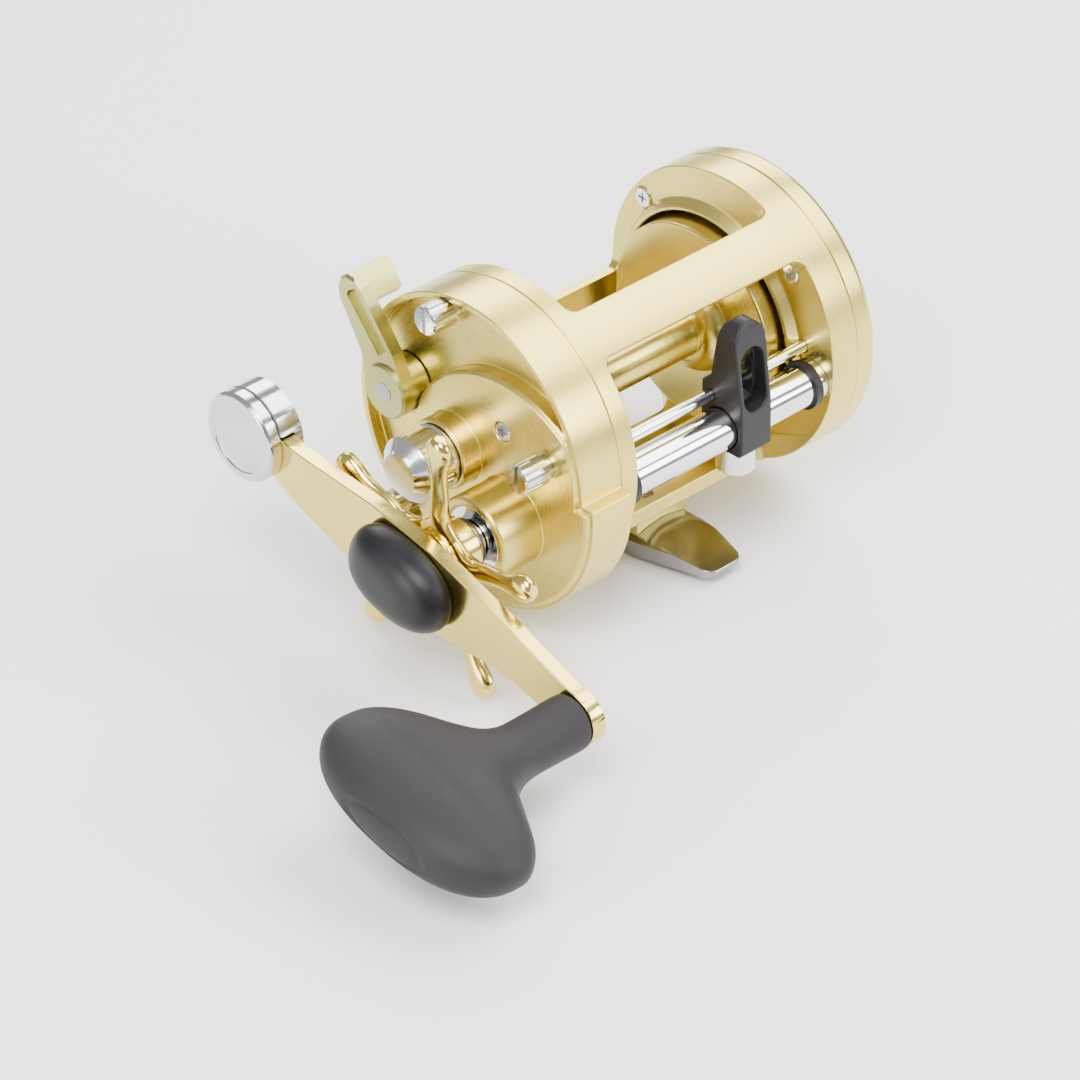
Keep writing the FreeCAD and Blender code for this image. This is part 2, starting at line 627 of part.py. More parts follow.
def make_palm_plate():
    body = new_body("palm_side_plate")
    radius = d.ring_radius
    turned(body, [(d.far_seam, 30.4), (d.far_seam, radius), (d.palm_floor, radius, -2.0),
                  (d.palm_edge, radius - 2.0), (d.palm_edge, 27.0), (d.palm_edge + 0.5, 26.5),
                  (d.palm_crown, 0), (d.palm_floor, 0), (d.palm_floor, 30.4)])
    pad(body, d.far_seam, d.palm_floor + 0.5, [(y, z, 3.0) for y, z in PALM_SCREWS])
    pad(body, 31.0, d.palm_floor + 0.5, [(*SPOOL, 12.3), (*SPOOL, 11.2)])
    pad(body, 36.2, d.palm_floor + 0.5, [(*SPOOL, 7.2)])
    pocket(body, 35.0, 39.4, [(*SPOOL, 5.55)])
    pocket(body, d.far_seam - 1, d.far_seam + 3.5, [(y, z, 1.15) for y, z in PALM_SCREWS])
    pocket(body, d.palm_floor - 1, d.palm_crown + 1,
           outlines=[rectangle(SPOOL[0] - 1.6, SPOOL[1] + 13.0, SPOOL[0] + 1.6, SPOOL[1] + 20.6)])


# ---- spool ---------------------------------------------------------------------------------

def make_spool():
    body = new_body("spool", SPOOL)
    rim, arbor = d.flange_radius, d.arbor_radius
    near, far = -d.spool_near, d.spool_far
    turned(body, [(-30.5, 2.45), (-30.5, 5.0), (near - 1.8, 5.0), (near - 1.6, rim - 1.4),
                  (-29.6, rim - 1.2), (-29.6, rim), (near - 0.5, rim, -0.5), (near, rim - 0.5),
                  (near - 0.7, 11.0, -4.6), (near + 3.4, arbor), (far - 3.4, arbor, -4.6),
                  (far + 0.7, 11.0), (far, rim - 0.5, -0.5), (far + 0.5, rim), (28.6, rim),
                  (28.6, rim - 1.2), (far + 1.6, rim - 1.4), (far + 1.8, 5.0), (33.2, 5.0),
                  (33.2, 2.45)])


def make_spool_inner():
    shaft = new_body("spool_shaft", SPOOL)
    thin = d.spool_shaft_radius
    turned(shaft, [(-58.2, 0), (-58.2, 0.9), (-57.4, thin), (-30.6, thin), (-30.6, 2.4), (33.3, 2.4),
                   (33.3, 1.95), (38.6, 1.95), (39.3, 0.9), (39.3, 0)])
    across_z(shaft, "Pocket", -3.1, 3.1, [(-35.3, 0, 0.62)])
    pin = new_body("spool_cross_pin", SPOOL)
    across_z(pin, "Pad", -3.0, 3.0, [(-35.3, 0, 0.6)])
    slot = new_body("spool_brake_collar", SPOOL)
    turned(slot, ring_profile(30.4, 33.1, 5.05, 7.4))
    pocket(slot, 31.0, 32.4, outlines=[rectangle(-1.3, -9, 1.3, 9)])
    free_solid("click_gear", toothed(0.6, 22, 0, 28.9, 30.0).cut(cylinder(28, 31, 5.05)), SPOOL)
    for index, side in ((1, 1), (2, -1)):
        weight = new_body("brake_weight_%d" % index, SPOOL)
        low, high = (7.6, 10.4) if side > 0 else (-10.4, -7.6)
        across_z(weight, "Pad", low, high, outlines=[rectangle(31.2, -2.0, 33.4, 2.0)])
        inner_low, inner_high = (5.6, 7.7) if side > 0 else (-7.7, -5.6)
        across_z(weight, "Pad", inner_low, inner_high, outlines=[rectangle(31.2, -1.1, 32.2, 1.1)])


def make_bearings():
    """Each bearing is one node of separate solids: outer race, inner race and balls."""
    for label, begin, finish, inner, outer, axis in (
            ("palm_bearing", 36.4, 39.2, 2.0, 5.5, SPOOL), ("cap_bearing", -56.4, -53.6, 1.8, 5.0, SPOOL)):
        middle, ball = (begin + finish) / 2, (outer - inner) * 0.19
        pitch = (inner + outer) / 2
        race = (outer - inner) * 0.28
        pieces = [cylinder(begin, finish, outer).cut(cylinder(begin - 1, finish + 1, outer - race)),
                  cylinder(begin, finish, inner + race).cut(cylinder(begin - 1, finish + 1, inner))]
        for index in range(7):
            angle = 2 * math.pi * index / 7
            centre = Vector(middle, pitch * math.cos(angle), pitch * math.sin(angle))
            pieces.append(Part.makeSphere(ball, centre))
        free_solid(label, Part.makeCompound(pieces), axis)


# ---- gear train ----------------------------------------------------------------------------

def make_gears():
    module = d.drive_module.value
    mesh = d.mesh_angle.value
    main_first = mesh + 180 - d.crank_tilt.value
    gear = toothed(module, int(d.drive_teeth.value), main_first, -39.4, -36.0)
    gear = gear.cut(cylinder(-41, -35, d.shaft_radius.value + 0.02))
    gear = gear.cut(cylinder(-40, -37.2, 9.0))
    for index in range(6):
        angle = math.radians(60 * index)
        gear = gear.cut(cylinder(-38, -35, 2.1, 12.6 * math.cos(angle), 12.6 * math.sin(angle)))
    free_solid("main_gear", gear, MAIN, d.crank_tilt)
    pinion = toothed(module, int(d.pinion_teeth.value), mesh + 180 / d.pinion_teeth.value, -39.7, -34.4)
    for begin, finish, radius in ((-41.5, -39.6, 2.35), (-44.0, -41.4, 3.1)):
        pinion = pinion.fuse(cylinder(begin, finish, radius))
    pinion = pinion.cut(cylinder(-45, -34, d.spool_shaft_radius.value + 0.1))
    pinion = pinion.cut(Part.makeBox(1.8, 1.5, 12, Vector(-36.2, -0.75, -6)))
    free_solid("pinion", pinion, SPOOL)
    wind = d.wind_module.value
    wind_first = d.wind_angle.value - d.crank_tilt.value
    gear = toothed(wind, int(d.wind_teeth.value), wind_first, -35.7, -33.9)
    free_solid("level_wind_drive_gear", gear.cut(cylinder(-37, -33, 3.02)), MAIN, d.crank_tilt)
    worm_first = d.wind_angle.value + 180 + 180 / d.worm_teeth.value
    gear = toothed(wind, int(d.worm_teeth.value), worm_first, -35.7, -33.9)
    free_solid("level_wind_worm_gear", gear.cut(cylinder(-37, -33, 1.72)), WORM)


def make_main_shaft():
    tilt = d.crank_tilt
    body = new_body("main_shaft", MAIN, tilt)
    radius = d.shaft_radius
    turned(body, [(-78.6, 0), (-78.6, radius - 0.9), (-78.2, radius - 0.5), (-71.5, radius - 0.5),
                  (-71.3, radius), (-31.9, radius), (-31.9, 0)])
    ring("main_shaft_bush", -33.5, -32.0, radius + 0.03, 4.2, MAIN, bevel=0.1)
    washers = [cylinder(begin, begin + 0.55, outer).cut(cylinder(begin - 1, begin + 2, radius.value + 0.05))
               for begin, outer in ((-37.85, 8.7), (-38.5, 8.6), (-39.15, 8.7), (-39.8, 8.6), (-40.5, 7.0))]
    free_solid("drag_washers", Part.makeCompound(washers), MAIN, tilt)
    ring("clutch_inner_tube", -58.6, -41.2, radius + 0.03, 4.1, MAIN, tilt, bevel=0.2)
    springs = [cylinder(begin, begin + 0.45, 5.6).cut(cylinder(begin - 1, begin + 2, radius.value + 0.05))
               for begin in (-59.2, -59.8)]
    free_solid("star_spring_washers", Part.makeCompound(springs), MAIN, tilt)
    ring("roller_clutch_sleeve", -56.4, -46.6, 6.7, 7.45, MAIN, bevel=0.2)
    rollers = [cylinder(-55.4, -47.6, 1.22, 5.4 * math.cos(math.radians(45 * index)),
                        5.4 * math.sin(math.radians(45 * index))) for index in range(8)]
    free_solid("roller_clutch_rollers", Part.makeCompound(rollers), MAIN)
    ring("roller_clutch_cap_ring", -57.1, -56.5, 4.5, 7.45, MAIN, bevel=0.15)


# ---- clutch --------------------------------------------------------------------------------

def yoke_corner(forward, sideways, axis=(0.0, 0.0)):
    """A point of the yoke: forward along its length, sideways towards the lever."""
    lean = math.radians(YOKE_LEAN)
    return (forward * math.cos(lean) + sideways * math.sin(lean) + size(axis[0]).value,
            forward * math.sin(lean) - sideways * math.cos(lean) + size(axis[1]).value)


def make_clutch():
    yoke = new_body("clutch_yoke", SPOOL)
    plate = [yoke_corner(*corner) for corner in ((-14.5, -4.4), (13.4, -4.4), (13.4, 1.4), (6.0, 6.4),
                                                 (-6.0, 6.4), (-14.5, 1.4))]
    pad(yoke, -41.2, -40.0, outlines=[plate])
    mouth = [yoke_corner(*corner) for corner in ((-2.55, -6), (2.55, -6), (2.55, 1.2), (1.2, 2.55),
                                                 (-1.2, 2.55), (-2.55, 1.2))]
    pocket(yoke, -42, -39, outlines=[mouth])
    pocket(yoke, -42, -39, [(*yoke_corner(reach, 0.0), 1.35) for reach in (9.5, -9.5)])
    coils = [Part.makeTorus(1.75, 0.2, Vector(-41.5 - 0.75 * turn, y, z), Vector(1, 0, 0))
             for y, z in YOKE_POSTS for turn in range(4)]
    free_solid("yoke_springs", Part.makeCompound(coils))
    cam = new_body("clutch_cam", LEVER)
    pad(cam, -39.6, -38.3, [(0, 0, 5.0)])
    reach = (SPOOL[0] - LEVER[0], SPOOL[1] - LEVER[1])
    aim = math.atan2(reach[1].value, reach[0].value)
    finger = [(along * math.cos(aim) - aside * math.sin(aim), along * math.sin(aim) + aside * math.cos(aim))
              for along, aside in ((3.0, -3.0), (13.0, -2.0), (13.8, 0.0), (13.0, 2.0), (3.0, 3.0))]
    pad(cam, -39.6, -38.3, outlines=[finger])
    pad(cam, -d.main_face - 0.3, -38.7, [(0, 0, 2.4)])
    pocket(cam, -d.main_face - 1, -38, [(0, 0, 1.05)])
    lever = new_body("clutch_lever", LEVER)
    face, back = -d.lever_face, -d.main_face - 0.35
    pad(lever, face, back, [(0, 0, 6.3)])
    arm = [(-5.2, 3.2), (5.6, -2.4), (7.4, 4.8), (14.6, 16.5), (15.2, 19.0), (14.3, 21.7),
           (12.5, 23.1), (10.2, 23.1), (7.8, 21.5), (-2.0, 9.6)]
    pad(lever, face + 0.8, face + 3.8, outlines=[arm])
    thumb = [(15.1, 18.8), (14.3, 21.7), (12.5, 23.0), (10.6, 22.0), (7.9, 17.4), (9.0, 15.8), (12.4, 15.0)]
    pad(lever, face + 3.0, face + 12.7, outlines=[thumb])
    slot = [(2.3, 7.7), (-0.5, 9.7), (8.3, 20.5), (9.4, 21.0), (11.6, 19.6), (12.0, 18.5)]
    pocket(lever, face - 1, face + 2.0, outlines=[slot])
    pocket(lever, back - 2.4, back + 1, [(0, 0, 2.42)])
    pocket(lever, face - 1, face + 1.2, [(0, 0, 2.25)])
    pocket(lever, face - 1, back + 1, [(0, 0, 1.05)])
    dress(lever, "Chamfer", 0.5, lambda edge: at_x(edge, face.value) and edge.BoundBox.DiagonalLength > 12)
    dress(lever, "Chamfer", 0.6, lambda edge: at_x(edge, face.value + 0.8) and edge.Length > 1.5
          and max(vertex.Y for vertex in edge.Vertexes) > 12.4)
    screw = new_body("lever_screw", LEVER)
    pad(screw, face - 0.1, face + 1.15, [(0, 0, 2.2)])
    pad(screw, face + 1.0, -39.0, [(0, 0, 1.0)])


# ---- spool tension cap ---------------------------------------------------------------------

def make_tension_cap():
    cap = new_body("spool_tension_cap", SPOOL)
    outer, face, seat = d.cap_radius, -d.cap_face, -d.cap_seat - 0.3
    turned(cap, [(face + 3.0, 0), (face, 0), (face, 4.6), (face + 0.5, 5.2), (face + 2.2, outer - 0.3),
                 (face + 2.6, outer), (seat - 1.9, outer), (seat - 1.5, outer - 0.35),
                 (seat - 1.1, outer - 0.35), (seat - 0.7, outer), (seat, outer - 0.3),
                 (seat, d.neck_radius + 0.12), (face + 3.0, d.neck_radius + 0.12)])
    knurl = pocket(cap, face + 2.7, seat - 2.0,
                   outlines=[[(outer - 0.28, 0), (outer + 0.4, -0.42), (outer + 0.4, 0.42)]])
    polar_copies(cap, knurl, 40)
    ring("tension_shim", -59.2, -58.4, 0.0, 4.2, SPOOL, bevel=0.1)


# ---- level wind ----------------------------------------------------------------------------

def make_level_wind():
    tube = new_body("level_wind_tube", WORM)
    near_end = -d.recess_floor + 0.1
    turned(tube, ring_profile(near_end, d.tube_end, d.tube_bore, d.tube_radius - 0.02, 0.1))
    across_z(tube, "Pocket", -6.0, -2.0, outlines=[rectangle(-26.0, -1.75, 26.0, 1.75)])
    rod = new_body("guide_rod", ROD)
    turned(rod, [(near_end, 0), (near_end, 1.38), (d.tube_end, 1.38), (d.tube_end, 0)])
    collars = [ring_shape(24.75, 26.6), ring_shape(-28.8, -27.2)]
    free_solid("tube_collars", Part.makeCompound(collars), WORM)
    worm = new_body("worm_shaft", WORM)
    radius = d.worm_radius
    turned(worm, [(-35.7, 0), (-35.7, 1.7), (-31.4, 1.7), (-31.4, 2.6), (-27.0, 2.6), (-26.6, radius),
                  (26.6, radius), (27.0, 2.6), (29.6, 2.6), (29.6, 1.5), (32.0, 1.5), (32.0, 0)])
    worm_groove(worm)
    bushes = [cylinder(-33.4, -31.9, 3.28).cut(cylinder(-34, -31, 1.76)),
              cylinder(29.8, 32.2, 3.86).cut(cylinder(29, 33, 1.56))]
    free_solid("worm_bushes", Part.makeCompound(bushes), WORM)


def ring_shape(begin, finish):
    outer, inner = d.tube_radius.value + 0.75, d.tube_radius.value + 0.02
    return cylinder(begin, finish, outer).cut(cylinder(begin - 1, finish + 1, inner))


def worm_groove(worm):
    """Ring grooves stand for the crossing thread at the pitch of the thread."""
    groove = [(-24.9, d.worm_radius + 0.4), (-24.5, d.worm_radius - 0.7), (-23.7, d.worm_radius - 0.7),
              (-23.3, d.worm_radius + 0.4)]
    cut = turned(worm, groove, "Groove")
    axis = [part for part in worm.Origin.OriginFeatures if part.Role == "X_Axis"][0]
    pattern = worm.newObject("PartDesign::LinearPattern", "worm_groove_pattern")
    pattern.Originals = [cut]
    pattern.Direction = (axis, [""])
    pattern.Length = 48.2
    pattern.Occurrences = 17
    worm.Tip = pattern


def make_line_guide():
    guide = new_body("line_guide", WORM)
    half = d.guide_width / 2
    begin, finish = d.guide_x - half, d.guide_x + half
    rod_y, rod_z = ROD[0] - WORM[0], ROD[1] - WORM[1]
    foot = [(-6.2, -4.4), (-5.2, -5.4), (5.2, -5.4), (6.2, -4.4), (6.2, 2.2), (6.2, 9.6), (3.6, 12.0),
            (1.6, 24.6), (0.4, 25.9, 2.0), (-2.4, 25.6), (-3.4, 24.2), (-6.0, 6.0)]
    pad(guide, begin, finish, outlines=[foot])
    pocket(guide, begin - 1, finish + 1, [(0, 0, d.tube_radius + 0.12), (rod_y, rod_z, d.rod_radius + 0.12)])
    outline_sketch = new_sketch(guide, "XZ_Plane", -20)
    left, right = begin - 0.01, finish + 0.01
    crown = 25.95
    draw_outline(outline_sketch, [(left, 19.6), (left, 30), (right, 30), (right, 19.6, 5.2),
                                  (d.guide_x, crown, 5.2)])
    trim = guide.newObject("PartDesign::Pocket", "line_guide_round_top")
    trim.Profile = outline_sketch
    trim.Length = 40
    trim.Reversed = True
    guide.Tip = trim
    eye = new_sketch(guide, "XZ_Plane", -20)
    draw_outline(eye, eyelet_outline(3.3, 7.4))
    hole = guide.newObject("PartDesign::Pocket", "line_guide_eye")
    hole.Profile = eye
    hole.Length = 40
    hole.Reversed = True
    guide.Tip = hole
    insert = new_body("line_guide_insert", WORM)
    rim = new_sketch(insert, "XZ_Plane", 2.0)
    draw_outline(rim, eyelet_outline(3.22, 7.32))
    draw_outline(rim, eyelet_outline(2.45, 6.55))
    sleeve = insert.newObject("PartDesign::Pad", "line_guide_insert_sleeve")
    sleeve.Profile = rim
    sleeve.Length = 3.4
    sleeve.Reversed = True
    insert.Tip = sleeve
    pawl = new_body("line_guide_pawl", WORM)
    across_z(pawl, "Pad", -10.4, -3.5, [(d.guide_x, 0, 1.25)])
    cap = new_body("pawl_cap", WORM)
    across_z(cap, "Pad", -11.9, -5.5, [(d.guide_x, 0, 4.25)])
    across_z(cap, "Pocket", -10.5, -5.0, [(d.guide_x, 0, 1.35)])
    across_z(cap, "Pocket", -12.5, -11.2, outlines=[rectangle(d.guide_x - 5, -0.45, d.guide_x + 5, 0.45)])
    dress(cap, "Chamfer", 0.5, lambda edge: abs(edge.BoundBox.ZMin + 11.9) < 0.01
          and edge.BoundBox.ZLength < 0.01 and edge.BoundBox.DiagonalLength > 3)
    across_z(guide, "Pocket", -6, -3, [(d.guide_x, 0, 1.5)])


def eyelet_outline(half_width, half_height):
    """The tall slot with round ends that the line runs through, centred above the tube."""
    centre_z, middle = 12.6, d.guide_x
    low, high = centre_z - half_height + half_width, centre_z + half_height - half_width
    return [(middle - half_width, high), (middle - half_width, low, half_width + 0.001),
            (middle, low - half_width, half_width + 0.001), (middle + half_width, low),
            (middle + half_width, high, half_width + 0.001),
            (middle, high + half_width, half_width + 0.001)]


# ---- handle and star drag ------------------------------------------------------------------

def make_star():
    """Five arms that sweep out and forward from the hub to rounded ends."""
    star = cylinder(-69.2, -61.0, 7.0).fuse(cylinder(-62.0, -60.0, 5.6))
    reach = d.star_radius.value
    stations = ((4.0, -66.4, 4.6, 2.4), (9.0, -66.9, 3.7, 1.9), (15.0, -67.4, 2.3, 1.6),
                (reach - 7, -67.8, 2.0, 1.6), (reach - 3, -68.1, 2.6, 1.9), (reach, -68.2, 3.2, 2.1),
                (reach + 2, -68.2, 2.6, 1.9), (reach + 3.2, -68.2, 1.2, 1.0))
    for index in range(5):
        angle = math.radians(9.4 + 72 * index)
        outward = Vector(0, math.cos(angle), math.sin(angle))
        sideways = Vector(0, -math.sin(angle), math.cos(angle))
        wires = [section(outward * place + Vector(x, 0, 0), sideways, Vector(1, 0, 0), wide, thick)
                 for place, x, wide, thick in stations]
        star = star.fuse(loft(wires))
    star = star.cut(cylinder(-70, -59, d.shaft_radius.value + 0.15))
    free_solid("star_drag_wheel", star, MAIN, d.crank_tilt)


def arm_outline():
    """Round at the grip, fullest beside the hub and narrow where the counterweight clamps it."""
    top = ((-45, 6.3), (-38.8, 7.0), (-32.7, 7.8), (-20.3, 8.8), (-7.7, 9.5), (4.5, 9.3), (17, 8.2),
           (29.2, 6.1), (39.3, 4.7), (d.weight_reach.value, 4.5))
    weight_end = ((53.6, 3.1), (54.8, 0), (53.6, -3.1))
    low = ((d.weight_reach.value, -4.5), (42.2, -5.9), (36.1, -7.4), (29.6, -8.4), (22.9, -9.2), (14.4, -9.8),
           (4, -10.4), (-5, -10.2), (-12, -8.9), (-17.6, -7.2), (-23.4, -5.6), (-29.2, -4.4), (-35.2, -3.9),
           (-41.2, -4.2), (-46, -5.3))
    grip_end = [(-d.grip_reach.value - 6 * math.cos(math.radians(a)), -6 * math.sin(math.radians(a)))
                for a in (60, 30, 0, -30, -60)]
    curve = Part.BSplineCurve()
    curve.interpolate([Vector(0, y, z) for y, z in (*top, *weight_end, *low, *grip_end)], PeriodicFlag=True)
    return Part.Face(Part.Wire(curve.toShape()))


def make_handle():
    tilt = d.crank_tilt
    front, thick = -d.arm_front.value, d.arm_thickness.value
    arm = arm_outline()
    arm.translate(Vector(front, 0, 0))
    arm = arm.extrude(Vector(thick, 0, 0))
    arm = arm.cut(cylinder(front - 1, front + 6, d.shaft_radius.value - 0.45))
    arm = arm.cut(cylinder(front - 1, front + 1.4, 1.05, 7.4))
    arm = arm.cut(cylinder(front - 1, front + 6, 2.05, -d.grip_reach.value))
    free_solid("handle_arm", arm, MAIN, tilt)
    nut = new_body("handle_nut", MAIN, tilt)
    hexagon = [polar(5.6, 60 * index) for index in range(6)]
    pad(nut, -79.1, front, outlines=[hexagon])
    pocket(nut, -80, front + 1, [(0, 0, 2.55)])
    screw = new_body("nut_lock_screw", MAIN, tilt)
    pad(screw, front - 2.4, front + 1.2, [(7.4, 0, 1.0)])
    pad(screw, front - 3.4, front - 2.3, [(7.4, 0, 1.7)])
    cover = ((-75.35, 13.6, 9.0), (-77.6, 14.0, 9.3), (-80.2, 12.8, 8.6), (-82.4, 9.6, 6.5),
             (-83.8, 5.0, 3.4))
    room = ((-74.3, 11.6, 7.2), (-78.9, 11.1, 6.9), (-81.4, 8.6, 5.2))
    outer, inner = (loft([section(Vector(x, 0, -0.3), Vector(0, 1, 0), Vector(0, 0, 1), wide, high, 2.4)
                          for x, wide, high in stations]) for stations in (cover, room))
    free_solid("nut_cover", outer.cut(inner), MAIN, tilt)
    make_counterweight(tilt, front, front + thick)
    make_grip(tilt, front)


def make_counterweight(tilt, front, back):
    """Two chrome discs clamp the arm's end; the rear one is slotted for it."""
    reach, radius = d.weight_reach.value, d.weight_radius
    axis = (MAIN[0] + reach * cosine(tilt), MAIN[1] + reach * sine(tilt))
    outer = new_body("counterweight_outer", axis, tilt)
    turned(outer, [(front - 0.05, 0), (front - 0.05, radius - 0.3), (front - 0.35, radius),
                   (front - 2.6, radius, 1.2), (front - 3.5, radius - 1.1), (front - 3.6, radius - 2.3),
                   (front - 3.4, radius - 2.5), (front - 4.3, 4.5), (front - 4.5, 0)])
    inner = new_body("counterweight_inner", axis, tilt)
    turned(inner, [(front + 0.15, 0), (front + 0.15, radius - 0.3), (front + 0.45, radius),
                   (back + 2.2, radius), (back + 2.8, radius - 0.6), (back + 2.8, 0)])
    pocket(inner, front - 1, back + 0.05,
           outlines=[[(-11.5, -7.7), (-8.0, -6.5), (0, -4.9), (3.6, -3.7), (5.1, 0), (3.6, 3.7), (0, 4.9),
                      (-11.5, 5.4)]])


def make_grip(tilt, front):
    axis = (MAIN[0] - d.grip_reach * cosine(tilt), MAIN[1] - d.grip_reach * sine(tilt))
    pin = new_body("grip_pin", axis, tilt)
    tip = front - 40
    turned(pin, [(tip, 0), (tip, 3.0), (tip + 1.2, 3.0), (tip + 1.2, 2.0), (front + 3.7, 2.0),
                 (front + 3.7, 3.4), (front + 4.5, 3.0), (front + 4.5, 0)])
    start = front - 0.25
    stations = ((0, 0, 6.1, 6.1, 2.0), (4, 0, 6.2, 6.2, 2.0), (12, 0, 6.1, 6.1, 2.0), (17, 0, 6.6, 6.0, 2.0),
                (21, 0.4, 8.4, 6.4, 2.1), (24.5, 1.2, 12.0, 7.0, 2.2), (28, 0.9, 18.0, 7.7, 2.3),
                (31.5, -0.1, 23.1, 8.4, 2.4), (35.5, -0.4, 26.0, 8.7, 2.4), (39.5, -0.2, 26.6, 8.4, 2.4),
                (43.5, 0.1, 25.2, 7.6, 2.4), (48, 0.8, 21.0, 6.3, 2.3), (51.8, 1.0, 14.2, 4.5, 2.2),
                (54.2, 1.0, 6.4, 1.9, 2.0))
    grip = loft([section(Vector(start - place, middle, 0), Vector(0, 1, 0), Vector(0, 0, 1), wide, thick,
                         square) for place, middle, wide, thick, square in stations])
    grip = grip.cut(cylinder(tip - 1.0, start + 1, 3.3))
    free_solid("grip_body", grip, axis, tilt)
    ring("grip_bush", start - 12, start - 0.3, 2.08, 3.28, axis, tilt, bevel=0.15)


# ---- fasteners and click -------------------------------------------------------------------

def screw_body(label, head_from, head_to, shank_to, head_radius, shank_radius, recess=1.3):
    """A cross-headed screw whose head starts at head_from and points back towards -X or +X."""
    body = new_body(label, node=False)
    way = 1 if shank_to > head_to else -1
    turned(body, [(head_from, 0), (head_from, head_radius - 0.3), (head_from + 0.3 * way, head_radius),
                  (head_to, head_radius), (head_to, shank_radius), (shank_to, shank_radius), (shank_to, 0)])
    low, high = sorted((head_from - 0.1 * way, head_from + 0.8 * way))
    pocket(body, low, high, outlines=[cross_outline(recess, 0.26)])
    return body


def make_fasteners():
    body = screw_body("palm_screw_pattern", 0, 0.9, 10.6, 2.4, 1.1)
    copies("palm_plate_screws", body, [(d.half_gap - 0.45, y, z) for y, z in PALM_SCREWS])
    body = screw_body("plate_screw_pattern", 0, 0.8, 3.4, 1.9, 1.0, 1.0)
    copies("gear_plate_screws", body, [(-d.near_seam - 0.8, y, z) for y, z in PLATE_SCREWS])
    body = screw_body("cover_screw", 0, 0.9, 2.6, 2.2, 1.0)
    copies("housing_screw", body, [(-d.plateau_face + 0.05, *COVER_SCREW)])
    knob = new_body("thumb_screw_pattern", node=False)
    turned(knob, [(-8.2, 0), (-8.2, 2.9), (-7.8, 3.3), (-1.6, 3.3), (-1.2, 2.7), (-0.1, 2.7), (-0.1, 0)])
    groove = pocket(knob, -7.7, -1.7, outlines=[[(3.0, 0), (3.6, -0.34), (3.6, 0.34)]])
    polar_copies(knob, groove, 20)
    pocket(knob, -8.6, -7.2, outlines=[rectangle(-0.5, -4, 0.5, 4)])
    doc.recompute()
    head = knob.Shape.copy()
    head.Placement = Placement()
    screws = []
    for (y, z), seat in zip(THUMB_SCREWS, THUMB_SEATS):
        screw = head.fuse(cylinder(-0.2, seat.value - d.half_gap.value - 1.5, 1.45))
        screw.Placement = Placement(Vector(-seat.value, y, z), Rotation())
        screws.append(screw)
    free_solid("thumb_screws", Part.makeCompound(screws))


def make_click():
    button = new_body("click_button", SPOOL)
    across_z(button, "Pad", 14.8, 19.2, outlines=[rectangle(37.5, -1.4, 44.4, 1.4)])
    across_z(button, "Pad", 13.9, 20.1, outlines=[rectangle(44.0, -2.6, 45.6, 2.6)])
    pawl = new_body("click_pawl", SPOOL)
    across_z(pawl, "Pad", 9.0, 16.0, outlines=[rectangle(28.9, -1.0, 30.0, 1.0)])
    across_z(pawl, "Pad", 14.4, 16.0, outlines=[rectangle(28.9, -1.0, 37.4, 1.0)])


# ---- build and write -----------------------------------------------------------------------

make_frame()
make_foot()
make_foot_screws()
make_gear_plate()
make_side_plate()
make_palm_plate()
make_spool()
make_spool_inner()
make_bearings()
make_gears()
make_main_shaft()
make_clutch()
make_tension_cap()
make_level_wind()
make_line_guide()
make_star()
make_handle()
make_fasteners()
make_click()

doc.recompute()
for item in doc.Objects:
    if "Invalid" in item.State or "Error" in item.State:
        raise RuntimeError("%s failed: %s" % (item.Name, item.State))

os.makedirs("parts", exist_ok=True)
for old in os.listdir("parts"):
    os.remove(os.path.join("parts", old))
for item in nodes:
    shape = item.Shape
    if shape.isNull() or not shape.isValid():
        raise RuntimeError("%s has no valid shape" % item.Label)
    shape.exportStep("parts/%s.step" % item.Label)
    print("%-24s %2d solids %9.1f mm3" % (item.Label, len(shape.Solids), shape.Volume))
print("nodes", len(nodes))
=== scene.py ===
"""Looks of the trolling reel: materials, bevelled metalwork, rubber parts, studio and camera."""
import json
import math

import bmesh
import bpy
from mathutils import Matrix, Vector


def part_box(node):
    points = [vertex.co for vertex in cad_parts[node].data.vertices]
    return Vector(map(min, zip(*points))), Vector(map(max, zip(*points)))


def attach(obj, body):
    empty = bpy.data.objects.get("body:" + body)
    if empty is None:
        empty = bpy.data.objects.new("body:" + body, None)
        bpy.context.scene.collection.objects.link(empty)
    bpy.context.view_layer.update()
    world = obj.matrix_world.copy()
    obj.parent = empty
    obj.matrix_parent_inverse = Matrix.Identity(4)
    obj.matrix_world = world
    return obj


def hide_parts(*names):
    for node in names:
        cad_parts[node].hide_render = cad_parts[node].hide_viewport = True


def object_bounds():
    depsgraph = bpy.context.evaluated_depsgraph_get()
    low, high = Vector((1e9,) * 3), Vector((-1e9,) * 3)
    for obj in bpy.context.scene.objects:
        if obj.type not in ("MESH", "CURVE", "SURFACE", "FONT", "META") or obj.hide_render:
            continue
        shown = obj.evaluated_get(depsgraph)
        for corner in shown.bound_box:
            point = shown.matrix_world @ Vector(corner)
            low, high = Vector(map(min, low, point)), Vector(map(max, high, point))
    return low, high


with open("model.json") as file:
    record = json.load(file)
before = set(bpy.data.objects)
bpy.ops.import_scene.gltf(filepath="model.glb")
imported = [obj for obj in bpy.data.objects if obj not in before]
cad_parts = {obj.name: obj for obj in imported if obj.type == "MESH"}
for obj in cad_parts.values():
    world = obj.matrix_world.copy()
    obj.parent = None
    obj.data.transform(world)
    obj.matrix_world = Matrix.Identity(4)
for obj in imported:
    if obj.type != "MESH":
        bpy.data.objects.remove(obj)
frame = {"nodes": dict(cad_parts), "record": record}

cad_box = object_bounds()
record = frame["record"]
nodes = frame["nodes"]
bodies_of = {node: body for body, names in record["behaviour"]["bodies"].items() for node in names}
joints = {joint["name"]: joint for joint in record["behaviour"]["joints"]}
